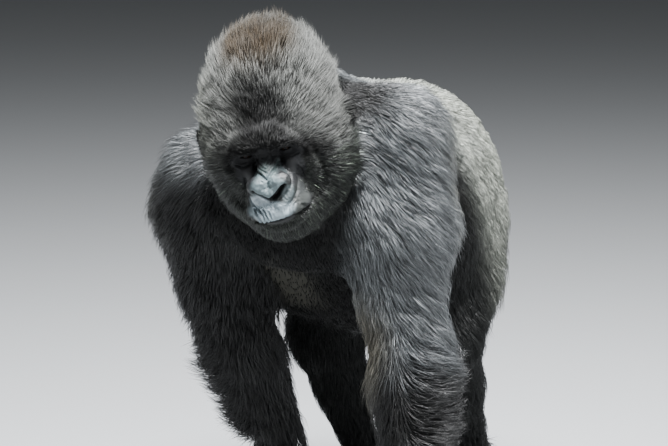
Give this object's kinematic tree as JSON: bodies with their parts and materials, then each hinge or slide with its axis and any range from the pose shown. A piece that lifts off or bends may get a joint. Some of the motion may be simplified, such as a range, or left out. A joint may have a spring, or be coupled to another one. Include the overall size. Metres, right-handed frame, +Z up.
{
  "type": "gorilla model",
  "caption": "Life-size still model of an adult male mountain gorilla standing on its knuckles and soles, head lowered and turned a little to its left.",
  "frame": {"origin": "on the floor under the middle of the model's box", "axes": "+Z up, -Y the way the gorilla's body faces, +X towards its left side"},
  "size_m": [0.7006, 1.1302, 1.1287],
  "materials": {
    "black_coat": "matte",
    "silver_coat": "matte",
    "bare_skin": "satin",
    "eye": "glossy",
    "nail": "satin"
  },
  "bodies": {
    "root": {"trunk": "silver_coat", "neck": "black_coat", "upper_arm_left": "black_coat", "forearm_left": "black_coat", "hand_left": "bare_skin", "fingernail_little_left": "nail", "fingernail_ring_left": "nail", "fingernail_middle_left": "nail", "fingernail_index_left": "nail", "fingernail_thumb_left": "nail", "thigh_left": "black_coat", "shank_left": "black_coat", "foot_left": "bare_skin", "toenail_second_left": "nail", "toenail_third_left": "nail", "toenail_fourth_left": "nail", "toenail_little_left": "nail", "toenail_big_left": "nail", "upper_arm_right": "black_coat", "forearm_right": "black_coat", "hand_right": "bare_skin", "fingernail_little_right": "nail", "fingernail_ring_right": "nail", "fingernail_middle_right": "nail", "fingernail_index_right": "nail", "fingernail_thumb_right": "nail", "thigh_right": "black_coat", "shank_right": "black_coat", "foot_right": "bare_skin", "toenail_second_right": "nail", "toenail_third_right": "nail", "toenail_fourth_right": "nail", "toenail_little_right": "nail", "toenail_big_right": "nail", "face": "bare_skin", "head": "black_coat", "eye_left": "eye", "eye_right": "eye", "ear_left": "bare_skin", "ear_right": "bare_skin"}
  },
  "joints": []
}
